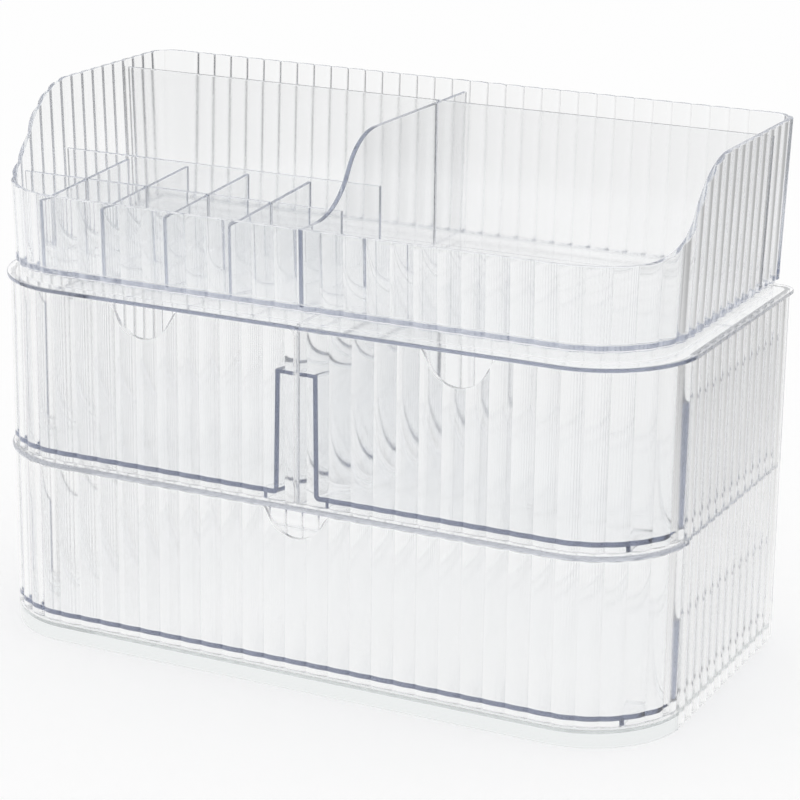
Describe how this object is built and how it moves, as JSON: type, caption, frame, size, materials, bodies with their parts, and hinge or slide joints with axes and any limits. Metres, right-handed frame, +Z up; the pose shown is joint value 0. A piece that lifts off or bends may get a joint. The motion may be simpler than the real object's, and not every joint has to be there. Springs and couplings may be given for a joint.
{
  "type": "makeup storage box",
  "caption": "Clear ribbed plastic organiser: a low case with sliding drawers under a lift-off divided tray for lipsticks, brushes and bottles.",
  "frame": {"origin": "on the ground under the middle of the box", "axes": "+X to the right as seen from the front, +Y from the drawer fronts to the rear wall, +Z up"},
  "size_m": [0.2824, 0.1424, 0.2085],
  "materials": {
    "clear_case": "clear, glossy, ribbed outside",
    "clear_drawer": "clear, glossy, ribbed front",
    "clear_tray": "clear, glossy, ribbed outside"
  },
  "bodies": {
    "case": {"left_side_wall": "clear_case", "right_side_wall": "clear_case", "rear_wall": "clear_case", "top_deck": "clear_case", "mid_shelf": "clear_case", "base_plate": "clear_case", "centre_partition": "clear_case"},
    "left_drawer": {"left_drawer_front": "clear_drawer", "left_drawer_tub": "clear_drawer"},
    "right_drawer": {"right_drawer_front": "clear_drawer", "right_drawer_tub": "clear_drawer"},
    "lower_drawer": {"lower_drawer_front": "clear_drawer", "lower_drawer_tub": "clear_drawer"},
    "tray": {"tray_shell": "clear_tray", "tall_divider": "clear_tray", "rear_partition": "clear_tray", "lipstick_back_wall": "clear_tray", "lipstick_cross_wall": "clear_tray", "lipstick_divider_1": "clear_tray", "lipstick_divider_2": "clear_tray", "lipstick_divider_3": "clear_tray", "lipstick_divider_4": "clear_tray"}
  },
  "joints": [
    {"name": "left_drawer_slide", "type": "slide", "parent": "case", "child": "left_drawer", "axis": [0, -1, 0], "range_m": [0, 0.11]},
    {"name": "right_drawer_slide", "type": "slide", "parent": "case", "child": "right_drawer", "axis": [0, -1, 0], "range_m": [0, 0.11]},
    {"name": "lower_drawer_slide", "type": "slide", "parent": "case", "child": "lower_drawer", "axis": [0, -1, 0], "range_m": [0, 0.11]},
    {"name": "tray_lift", "type": "slide", "parent": "case", "child": "tray", "axis": [0, 0, 1], "range_m": [0, 0.12]}
  ]
}
